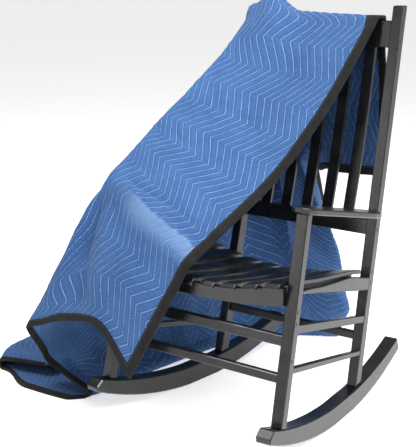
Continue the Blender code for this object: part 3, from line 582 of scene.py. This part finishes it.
def outward_at(points, normals, i, j):
    """Direction out of the cloth at a point of its border, longer at the corners."""
    rows, cols = points.shape[:2]
    di = 1 if i == 0 else -1 if i == rows - 1 else 0
    dj = 1 if j == 0 else -1 if j == cols - 1 else 0
    outwards = points[i, j] - points[i + di, j + dj]
    normal = normals[i, j]
    if not (di and dj):
        run = (points[i, min(j + 1, cols - 1)] - points[i, max(j - 1, 0)] if di
               else points[min(i + 1, rows - 1), j] - points[max(i - 1, 0), j])
        square = np.cross(normal, run)
        outwards = square if np.dot(square, outwards) > 0 else -square
    outwards = outwards - normal * float(np.dot(outwards, normal))
    return outwards / np.linalg.norm(outwards) * (math.sqrt(2) if di and dj else 1.0)


def build_binding(grid, material):
    """The folded strip round the edge: one thin channel that holds both faces of the cloth."""
    along, across, points, normals = grid
    rows, cols = along.shape
    inner = PAD_THICK / 2 + BINDING_GAP
    outer = inner + BINDING_THICK
    pucker = strip_pucker(along, across)
    vertices, uvs, index = [], [], {}

    def vertex(key, place, uv):
        """The number of the vertex that has this key, made at its first use."""
        if key not in index:
            index[key] = len(vertices)
            place = place + SHIFT
            vertices.append(np.array([place[0], place[1], max(place[2], 0.0)]))
            uvs.append(uv)
        return index[key]

    def on_face(sign, is_outer, i, j):
        """A grid point on the strip's outer or inner layer, above the cloth or under it."""
        height = outer + pucker[i, j] if is_outer else inner
        place = points[i, j] + sign * height * normals[i, j]
        return vertex((sign, is_outer, i, j), place, (across[i, j], along[i, j]))

    faces = []
    lanes = BINDING_LANES
    for i in range(rows - 1):
        for j in range(cols - 1):
            if lanes <= i < rows - 1 - lanes and lanes <= j < cols - 1 - lanes:
                continue
            for sign in (1, -1):
                for is_outer in (True, False):
                    ring = [on_face(sign, is_outer, *c)
                            for c in ((i, j), (i, j + 1), (i + 1, j + 1), (i + 1, j))]
                    faces.append(ring if (sign > 0) == is_outer else ring[::-1])
    low_i, high_i, low_j, high_j = lanes, rows - 1 - lanes, lanes, cols - 1 - lanes
    lip = [(low_i, j) for j in range(low_j, high_j)]
    lip += [(i, high_j) for i in range(low_i, high_i)]
    lip += [(high_i, j) for j in range(high_j, low_j, -1)]
    lip += [(i, low_j) for i in range(high_i, low_i, -1)]
    for a, b in zip(lip, lip[1:] + lip[:1]):
        for sign in (1, -1):
            faces.append([on_face(sign, True, *a), on_face(sign, True, *b),
                          on_face(sign, False, *b), on_face(sign, False, *a)])
    walk = border_walk(rows, cols)
    outwards = {w: outward_at(points, normals, *w) for w in walk}

    def rim_points(w):
        """From the upper outer layer round the edge to the lower outer layer, then back inside."""
        i, j = w
        edge, normal, out = points[w], normals[w], outwards[w]
        uv = (across[w], along[w])
        ring = [on_face(1, True, i, j)]
        for k, (share, thicknesses) in enumerate(BINDING_BACK):
            reach = BINDING_GAP + BINDING_THICK * thicknesses
            place = edge + share * outer * normal + reach * out
            ring.append(vertex(("spine", k, w), place, uv))
        ring.append(on_face(-1, True, i, j))
        back = [on_face(-1, False, i, j)]
        for k, share in enumerate((-1, 1)):
            place = edge + share * inner * BINDING_INSIDE * normal + BINDING_GAP * out
            back.append(vertex(("inside", k, w), place, uv))
        back.append(on_face(1, False, i, j))
        return ring, back

    for a, b in zip(walk, walk[1:] + walk[:1]):
        for run_a, run_b in zip(rim_points(a), rim_points(b)):
            for k in range(len(run_a) - 1):
                faces.append([run_a[k], run_a[k + 1], run_b[k + 1], run_b[k]])
    return mesh_object("edge_binding", np.array(vertices), faces, material,
                       uvs)


# ---------------------------------------------------------------- materials

class Nodes:
    """Short calls that add nodes to one node tree."""

    def __init__(self, tree):
        self.tree = tree

    def add(self, kind, **settings):
        """A new node with these settings."""
        node = self.tree.nodes.new(kind)
        for name, value in settings.items():
            setattr(node, name, value)
        return node

    def put(self, socket, value):
        """Links a node's output to a socket, or gives the socket a plain value."""
        if isinstance(value, bpy.types.NodeSocket):
            self.tree.links.new(value, socket)
        else:
            socket.default_value = value

    def math(self, operation, *values):
        node = self.add("ShaderNodeMath", operation=operation)
        for socket, value in zip(node.inputs, values):
            self.put(socket, value)
        return node.outputs[0]

    def plus(self, a, b):
        return self.math("ADD", a, b)

    def minus(self, a, b):
        return self.math("SUBTRACT", a, b)

    def times(self, a, b):
        return self.math("MULTIPLY", a, b)

    def off_middle(self, value, period):
        """0.5 at every whole period, falling to 0 halfway between."""
        part = self.math("FRACT", self.math("DIVIDE", value, period))
        return self.math("ABSOLUTE", self.minus(part, 0.5))

    def step(self, value, low, high):
        """0 at low, 1 at high, smooth in between; falls where low is above high."""
        node = self.add("ShaderNodeMapRange", interpolation_type="SMOOTHSTEP")
        for socket, number in zip(node.inputs[:5], (value, low, high, 0.0, 1.0)):
            self.put(socket, number)
        return node.outputs[0]

    def noise(self, vector, scale, detail=2.0, rough=0.5):
        node = self.add("ShaderNodeTexNoise")
        self.put(node.inputs["Vector"], vector)
        self.put(node.inputs["Scale"], scale)
        self.put(node.inputs["Detail"], detail)
        self.put(node.inputs["Roughness"], rough)
        return node.outputs["Fac"]

    def mix(self, share, a, b):
        """From colour a to colour b; 6, 7 and 2 are the node's colour sockets."""
        node = self.add("ShaderNodeMix", data_type="RGBA", blend_type="MIX")
        self.put(node.inputs[0], share)
        self.put(node.inputs[6], a)
        self.put(node.inputs[7], b)
        return node.outputs[2]

    def layered(self, base, *layers):
        """Lays colours over a base. Each layer has a mask, its full share and its colour."""
        for mask, share, colour in layers:
            base = self.mix(self.times(mask, share), base, colour)
        return base

    def split(self, vector):
        """The first two parts of a vector."""
        node = self.add("ShaderNodeSeparateXYZ")
        self.put(node.inputs[0], vector)
        return node.outputs[0], node.outputs[1]

    def scaled(self, vector, scale):
        node = self.add("ShaderNodeVectorMath", operation="MULTIPLY")
        self.put(node.inputs[0], vector)
        self.put(node.inputs[1], scale)
        return node.outputs[0]

    def bump(self, height, distance, strength, normal=None):
        node = self.add("ShaderNodeBump")
        self.put(node.inputs["Strength"], strength)
        self.put(node.inputs["Distance"], distance)
        self.put(node.inputs["Height"], height)
        if normal is not None:
            self.put(node.inputs["Normal"], normal)
        return node.outputs["Normal"]


def new_material(name):
    """A material, the short calls for its nodes, and its shader."""
    material = bpy.data.materials.new(name)
    material.use_nodes = True
    tree = material.node_tree
    return material, Nodes(tree), tree.nodes["Principled BSDF"]


def stitch_group():
    """Node group: where the thread, the dent beside it and the crown between lines lie."""
    tree = bpy.data.node_groups.new("zigzag_stitching", "ShaderNodeTree")
    tree.interface.new_socket("Flat cloth", in_out="INPUT", socket_type="NodeSocketVector")
    for name in ("Thread", "Dent", "Crown"):
        tree.interface.new_socket(name, in_out="OUTPUT", socket_type="NodeSocketFloat")
    n = Nodes(tree)
    source, sink = n.add("NodeGroupInput"), n.add("NodeGroupOutput")
    flat = source.outputs[0]
    across, along = n.split(flat)
    wave = n.off_middle(n.minus(along, STITCH_PEAK_AT), STITCH_PERIOD)
    swing = n.times(n.minus(n.times(wave, 4.0), 1.0), STITCH_SWING)
    wobble = n.times(n.minus(n.noise(flat, scale=22.0, detail=1.0), 0.5), STITCH_WOBBLE)
    place = n.minus(n.minus(n.plus(across, wobble), swing), STITCH_START)
    from_line = n.minus(0.5, n.off_middle(place, STITCH_PITCH))
    distance = n.times(from_line, STITCH_PITCH * STITCH_LEAN)
    near = n.step(distance, low=THREAD_HALF * (1 + THREAD_SOFT),
                  high=THREAD_HALF * (1 - THREAD_SOFT))
    dash = n.off_middle(along, STITCH_LENGTH)
    worn = n.step(n.noise(flat, scale=34.0), low=0.36, high=0.56)
    kept = n.plus(n.times(worn, 1 - THREAD_KEPT), THREAD_KEPT)
    stitches = n.times(n.step(dash, low=0.47, high=0.30), kept)
    n.put(sink.inputs[0], n.times(near, stitches))
    n.put(sink.inputs[1], n.step(distance, low=DENT_HALF, high=0.0004))
    n.put(sink.inputs[2], n.step(from_line, low=0.0, high=0.5))
    return tree


def weave_height(n, flat):
    """Over-and-under of fine threads, from 0 to 1."""
    over, under = [n.math("SINE", n.times(place, 2 * math.pi / WEAVE_PITCH))
                   for place in n.split(flat)]
    return n.plus(n.times(n.times(over, under), 0.5), 0.5)


def knee_painted_highlight(n, flat):
    """Painted highlight: the paler band just below the knee edge, strong at the edge and fading
    downwards.
    """
    across, along = n.split(flat)
    near, inner = KNEE_EDGE
    edge = n.math("MULTIPLY_ADD", n.step(across, low=0.0, high=KNEE_EDGE_RUN), inner - near, near)
    ragged = n.times(n.minus(n.noise(flat, scale=45.0, detail=3.0), 0.5), KNEE_RAGGED)
    below = n.minus(along, n.plus(edge, ragged))
    band = n.times(n.step(below, low=-0.004, high=0.006),
                   n.step(below, low=KNEE_HIGHLIGHT_LONG, high=0.004))
    return n.times(band, n.step(across, low=KNEE_HIGHLIGHT_WIDE, high=0.22))


def cloth_material(stitching):
    """Blue quilted cloth with paler zigzag stitching."""
    material, n, shader = new_material("blue_quilted_cloth")
    flat = n.add("ShaderNodeUVMap", uv_map="flat_cloth").outputs[0]
    group = n.add("ShaderNodeGroup", node_tree=stitching)
    n.put(group.inputs[0], flat)
    thread, dent, crown = group.outputs[0], group.outputs[1], group.outputs[2]
    shade = n.noise(flat, scale=9.0, detail=4.0, rough=0.55)
    fibre = n.noise(n.scaled(flat, (1.0, 0.35, 1.0)), scale=900.0, detail=3.0, rough=0.6)
    mottle = n.noise(flat, scale=210.0, detail=3.0, rough=0.65)
    base = n.layered(
        n.mix(n.step(shade, low=0.3, high=0.7), CLOTH_DEEP, CLOTH_LIGHT),
        (n.step(fibre, low=0.45, high=0.75), 0.34, CLOTH_FIBRE),
        (n.step(mottle, low=0.50, high=0.64), 0.48, CLOTH_FIBRE),
        (n.step(mottle, low=0.48, high=0.36), 0.45, CLOTH_MOTTLE_AND_SEAM_SHADE),
        # painted light on the crowns of the puffs
        (crown, 0.16, CLOTH_CROWN_PAINTED_LIGHT),
        # painted highlight below the knee edge
        (knee_painted_highlight(n, flat), 0.68, CLOTH_PAINTED_HIGHLIGHT),
        # painted shade in the dent beside each stitch line
        (dent, 0.42, CLOTH_MOTTLE_AND_SEAM_SHADE),
        (thread, 0.92, THREAD_COLOUR))
    n.put(shader.inputs["Base Color"], base)
    n.put(shader.inputs["Roughness"], n.plus(n.times(fibre, 0.16), 0.78))
    shader.inputs["Specular IOR Level"].default_value = 0.25
    shader.inputs["Sheen Weight"].default_value = 0.10
    shader.inputs["Sheen Roughness"].default_value = 0.45
    shader.inputs["Sheen Tint"].default_value = (0.70, 0.82, 1.0, 1.0)
    threads = n.plus(n.times(weave_height(n, flat), 0.6), n.times(fibre, 0.7))
    normal = n.bump(threads, distance=0.00022, strength=0.55)
    lumps = n.noise(flat, scale=60.0, detail=3.0, rough=0.55)
    normal = n.bump(lumps, distance=0.0022, strength=0.7, normal=normal)
    seam = n.minus(n.times(thread, 0.35), dent)
    normal = n.bump(seam, distance=0.0011, strength=0.8, normal=normal)
    n.put(shader.inputs["Normal"], normal)
    return material


def binding_material():
    """Charcoal ribbed strip with a row of stitches near its lip."""
    material, n, shader = new_material("charcoal_edge_binding")
    flat = n.add("ShaderNodeUVMap", uv_map="flat_cloth").outputs[0]
    across, along = n.split(flat)
    from_side = n.math("MINIMUM", across, n.minus(WIDE, across))
    from_end = n.math("MINIMUM", along, n.minus(LONG, along))
    depth = n.math("MINIMUM", from_side, from_end)
    on_side = n.math("LESS_THAN", from_side, from_end)
    run = n.plus(n.times(on_side, along), n.times(n.minus(1.0, on_side), across))
    rib = n.math("SINE", n.times(run, 2 * math.pi / RIB_PITCH))
    grain = n.noise(flat, scale=700.0, detail=3.0, rough=0.6)
    cloudy = n.noise(flat, scale=30.0, detail=3.0, rough=0.55)
    from_row = n.math("ABSOLUTE", n.minus(depth, BINDING_WIDE - BINDING_SEAM_IN))
    dash = n.off_middle(run, STITCH_LENGTH)
    thread = n.times(n.step(from_row, low=0.0010, high=0.0005),
                     n.step(dash, low=0.46, high=0.36))
    base = n.layered(
        n.mix(n.step(cloudy, low=0.3, high=0.72), BINDING_DEEP, BINDING_LIGHT),
        (n.step(rib, low=-0.2, high=1.0), 0.35, BINDING_RIB),
        (thread, 0.75, BINDING_THREAD))
    n.put(shader.inputs["Base Color"], base)
    n.put(shader.inputs["Roughness"], n.plus(n.times(grain, 0.25), 0.62))
    shader.inputs["Sheen Weight"].default_value = 0.04
    shader.inputs["Specular IOR Level"].default_value = 0.15
    normal = n.bump(n.plus(rib, grain), distance=0.00025, strength=0.7)
    normal = n.bump(cloudy, distance=0.0012, strength=0.6, normal=normal)
    sewn_in = n.step(from_row, low=0.0025, high=0.0)
    normal = n.bump(sewn_in, distance=0.0006, strength=-0.6, normal=normal)
    n.put(shader.inputs["Normal"], normal)
    return material


def paint_material(name, stretch):
    """Black satin paint over wood, its grain drawn out along the piece."""
    material, n, shader = new_material(name)
    place = n.add("ShaderNodeTexCoord").outputs["Object"]
    grain = n.noise(n.scaled(place, stretch), scale=260.0, detail=4.0, rough=0.6)
    cloudy = n.noise(place, scale=14.0, detail=3.0)
    speck = n.noise(place, scale=420.0)
    base = n.layered(
        n.mix(n.step(cloudy, low=0.35, high=0.68), PAINT_DEEP, PAINT_LIGHT),
        (n.step(grain, low=0.5, high=0.75), 0.25, PAINT_GRAIN))
    n.put(shader.inputs["Base Color"], base)
    rough = n.plus(n.times(cloudy, 0.16), n.times(speck, 0.08))
    n.put(shader.inputs["Roughness"], n.plus(rough, 0.17))
    shader.inputs["Specular IOR Level"].default_value = 0.55
    normal = n.bump(grain, distance=0.00035, strength=0.35)
    uneven = n.noise(place, scale=38.0)
    normal = n.bump(uneven, distance=0.0010, strength=0.25, normal=normal)
    n.put(shader.inputs["Normal"], normal)
    return material


def floor_material():
    """Nearly white floor that glows a little, so that it goes over into the background."""
    material, n, shader = new_material("pale_studio_floor")
    place = n.add("ShaderNodeTexCoord").outputs["Object"]
    tone = n.noise(place, scale=1.5)
    n.put(shader.inputs["Base Color"], n.mix(tone, FLOOR_DEEP, FLOOR_LIGHT))
    shader.inputs["Roughness"].default_value = 0.7
    shader.inputs["Emission Color"].default_value = FLOOR_GLOW
    shader.inputs["Emission Strength"].default_value = FLOOR_GLOW_STRENGTH
    return material


# ---------------------------------------------------------------- chair

# Which way each chair piece's wood runs: small numbers stretch the grain along that axis.
GRAIN = {
    "upright": (1.0, 1.0, 0.05),
    "front_to_back": (1.0, 0.05, 1.0),
    "side_to_side": (0.05, 1.0, 1.0),
}
UPRIGHT = ("leg", "post", "back_slat")
FRONT_TO_BACK = ("rocker", "armrest", "seat_rail_side", "side_rung")


def grain_of(name):
    """Which way the wood of a chair piece runs, from its name."""
    if any(word in name for word in UPRIGHT):
        return "upright"
    if any(word in name for word in FRONT_TO_BACK):
        return "front_to_back"
    return "side_to_side"


def paint_chair():
    """Paints every chair node, with its grain along the piece."""
    finishes = {key: paint_material("black_satin_paint_" + key, stretch)
                for key, stretch in GRAIN.items()}
    for name, obj in nodes.items():
        if name.startswith("pad_"):
            continue
        for slot in obj.material_slots:
            slot.material = finishes[grain_of(name)]
    return finishes


# Filled screw holes on the outer faces of legs and posts.
PLUG_RADIUS = 0.0056
PLUG_PROUD = 0.0012
PLUG_SUNK = 0.0008
PLUG_SIDES = 24
# Rings of a plug from its foot to its top: share of the radius, and reach out of the wood.
PLUG_RINGS = ((1.0, -PLUG_SUNK), (1.0, 0.5 * PLUG_PROUD), (0.8, 0.85 * PLUG_PROUD),
              (0.4, 1.0 * PLUG_PROUD))
PLUGS = (
    # upright, height
    ("leg", 0.405),
    ("leg", 0.282),
    ("leg", 0.375),
    ("post", 0.385),
    ("post", 0.355),
    ("post", 0.505),
    ("post", 1.035),
    ("post", 1.078),
)
# Uprights in the plane of their side frame: where the front face meets the floor, its lean,
# the depth from front to back, and how far the outer face lies inside the frame's outer face.
UPRIGHT_PLACES = {
    "leg": (-0.4169, 0.2307, 0.028, 0.0),
    "post": (0.0757, 0.2233, 0.0345, 0.00655),
}
# The side frames stand this far from the chair's middle, and close in towards the back.
SIDE_X_AT_ZERO = 0.269
SIDE_TOE_IN = math.atan(0.0867)


def side_point(side, along, inward, z):
    """A point of one side frame, in the chair's frame."""
    x = SIDE_X_AT_ZERO - along * math.sin(SIDE_TOE_IN) - inward * math.cos(SIDE_TOE_IN)
    y = along * math.cos(SIDE_TOE_IN) - inward * math.sin(SIDE_TOE_IN)
    return np.array([side * x, y, z])


def build_plugs(material):
    """Low domed discs that fill the screw holes, one piece for each side."""
    top = len(PLUG_RINGS) - 1
    for side, tag in ((1, "left"), (-1, "right")):
        vertices, faces = [], []
        outward = side_point(side, 0.0, -1.0, 0.0) - side_point(side, 0.0, 0.0, 0.0)
        forward = side_point(side, 1.0, 0.0, 0.0) - side_point(side, 0.0, 0.0, 0.0)
        for kind, z in PLUGS:
            foot, lean, depth, face = UPRIGHT_PLACES[kind]
            centre = side_point(side, foot + lean * z + depth / 2, face, z) + SHIFT
            first = len(vertices)
            for radius, reach in PLUG_RINGS:
                for k in range(PLUG_SIDES):
                    turn = 2 * math.pi * k / PLUG_SIDES
                    spoke = forward * math.cos(turn) + np.array([0, 0, 1]) * math.sin(turn)
                    vertices.append(centre + outward * reach + spoke * radius * PLUG_RADIUS)
            for ring in range(top):
                for k in range(PLUG_SIDES):
                    a = first + ring * PLUG_SIDES + k
                    b = first + ring * PLUG_SIDES + (k + 1) % PLUG_SIDES
                    faces.append((a, b, b + PLUG_SIDES, a + PLUG_SIDES))
            faces.append([first + top * PLUG_SIDES + k for k in range(PLUG_SIDES)])
            faces.append([first + k for k in reversed(range(PLUG_SIDES))])
        mesh_object("screw_plugs_" + tag, vertices, faces, material)


# ---------------------------------------------------------------- stage

# Half the floor's side, and its height: a little under the part's feet, which are at 0.
FLOOR_HALF = 90.0
FLOOR_Z = -0.001


def build_stage():
    """A wide floor to stand on."""
    mesh = bpy.data.meshes.new("studio_floor")
    corners = ((-1, -1), (1, -1), (1, 1), (-1, 1))
    mesh.from_pydata([(x * FLOOR_HALF, y * FLOOR_HALF, FLOOR_Z) for x, y in corners],
                     [], [(0, 1, 2, 3)])
    floor = bpy.data.objects.new("studio_floor", mesh)
    bpy.context.scene.collection.objects.link(floor)
    mesh.materials.append(floor_material())


# Soft lamps: place in the chair's frame, what they face, width and height, power in watts.
LAMPS = (
    ("key", (2.6, -1.2, 3.4), (0.0, 0.0, 0.5), (1.7, 1.7), 190.0),
    ("top", (0.8, 0.8, 3.8), (-0.1, 0.0, 0.6), (2.2, 2.2), 80.0),
    ("side", (3.2, 1.0, 1.4), (0.2, 0.0, 0.6), (1.6, 1.6), 40.0),
    ("front", (-1.45, -3.45, 1.45), (0.2, 0.1, 0.8), (0.7, 1.7), 24.0),
    ("over_floor_cloth", (-1.5, -1.0, 3.4), (-0.7, -0.4, 0.0), (1.2, 1.2), 55.0),
)
WORLD_COLOUR = (1.0, 1.0, 1.0, 1.0)
WORLD_STRENGTH = 0.30


def aim(obj, place, target):
    """Puts an object at a place so that its -Z axis points at the target."""
    back = np.array(place, dtype=float) - np.array(target, dtype=float)
    back /= np.linalg.norm(back)
    right = np.cross((0.0, 0.0, 1.0), back)
    right /= np.linalg.norm(right)
    up = np.cross(back, right)
    turn = Matrix((right, up, back)).transposed().to_4x4()
    spot = np.array(place, dtype=float) + SHIFT
    obj.matrix_world = Matrix.Translation(spot.tolist()) @ turn


def build_lights():
    """The lamps and the pale surroundings."""
    for name, place, target, size, power in LAMPS:
        light = bpy.data.lights.new(name, "AREA")
        light.shape = "RECTANGLE"
        light.size, light.size_y = size
        light.energy = power
        lamp = bpy.data.objects.new(name, light)
        bpy.context.scene.collection.objects.link(lamp)
        aim(lamp, place, target)
    world = bpy.data.worlds.new("pale_surroundings")
    world.use_nodes = True
    sky = world.node_tree.nodes["Background"]
    sky.inputs[0].default_value = WORLD_COLOUR
    sky.inputs[1].default_value = WORLD_STRENGTH
    bpy.context.scene.world = world


# The camera, solved from the chair's straight members, in the chair's frame.
CAMERA_PLACE = (1.6430, -2.5234, 1.2928)
CAMERA_TARGET = (0.0053, -0.2992, 0.5924)
CAMERA_LENS = 86.87
CAMERA_SENSOR = 36.0


def build_camera():
    """The camera that sees the part as the photo does."""
    data = bpy.data.cameras.new("photo_camera")
    data.sensor_width = CAMERA_SENSOR
    data.sensor_fit = "AUTO"
    data.lens = CAMERA_LENS
    camera = bpy.data.objects.new("photo_camera", data)
    bpy.context.scene.collection.objects.link(camera)
    aim(camera, CAMERA_PLACE, CAMERA_TARGET)
    bpy.context.scene.camera = camera


def main():
    """The cloth and its binding, the painted chair, and then the stage."""
    grid = cloth_grid()
    stitching = stitch_group()
    cloth = build_cloth(grid, cloth_material(stitching))
    binding = build_binding(grid, binding_material())
    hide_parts("pad_cloth")
    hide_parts("pad_binding")
    finishes = paint_chair()
    build_plugs(finishes["upright"])
    build_stage()
    build_lights()
    build_camera()
    bpy.context.scene.view_settings.view_transform = "Standard"


main()
